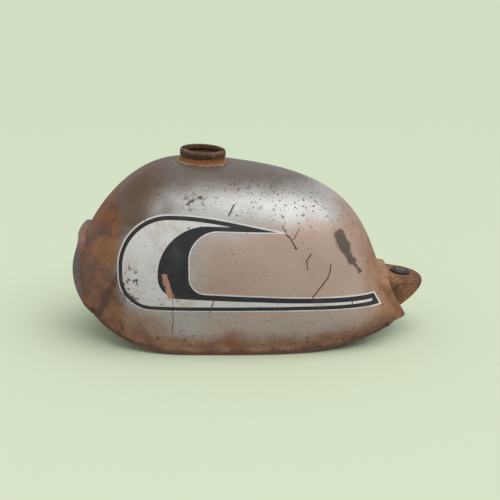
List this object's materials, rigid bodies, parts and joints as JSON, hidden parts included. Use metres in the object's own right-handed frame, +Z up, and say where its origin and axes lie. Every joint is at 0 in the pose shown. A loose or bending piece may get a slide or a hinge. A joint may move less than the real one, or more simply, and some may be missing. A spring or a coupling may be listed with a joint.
{
  "type": "motorcycle fuel tank",
  "caption": "Pressed-steel saddle fuel tank of a small trail motorcycle: two welded shells over a frame tunnel, open filler neck, rear mounting bracket with a rubber grommet.",
  "frame": {"origin": "centre of the footprint, on the plane that the bottom seam stands on", "axes": "+X to the rear of the motorcycle, -Y its left side, +Z up"},
  "size_m": [0.3762, 0.1764, 0.206],
  "materials": {
    "silver_paint": "worn metallic silver paint over steel, with rust",
    "inner_steel": "thin silver overspray over rusty steel",
    "neck_steel": "bare steel, rusted dark brown",
    "bracket_steel": "rusted steel",
    "grommet_rubber": "aged black rubber",
    "collar_steel": "dull plated steel",
    "stripe_film": "printed film, white with a black band"
  },
  "bodies": {
    "root": {"shell_left": "silver_paint", "shell_right": "silver_paint", "tunnel_pan": "inner_steel", "filler_neck": "neck_steel", "rear_bracket": "bracket_steel", "rear_grommet": "grommet_rubber", "rear_collar": "collar_steel", "front_cup_left": "inner_steel", "front_cup_right": "inner_steel", "outlet_spigot": "neck_steel", "stripe_left": "stripe_film", "stripe_right": "stripe_film"}
  },
  "joints": []
}
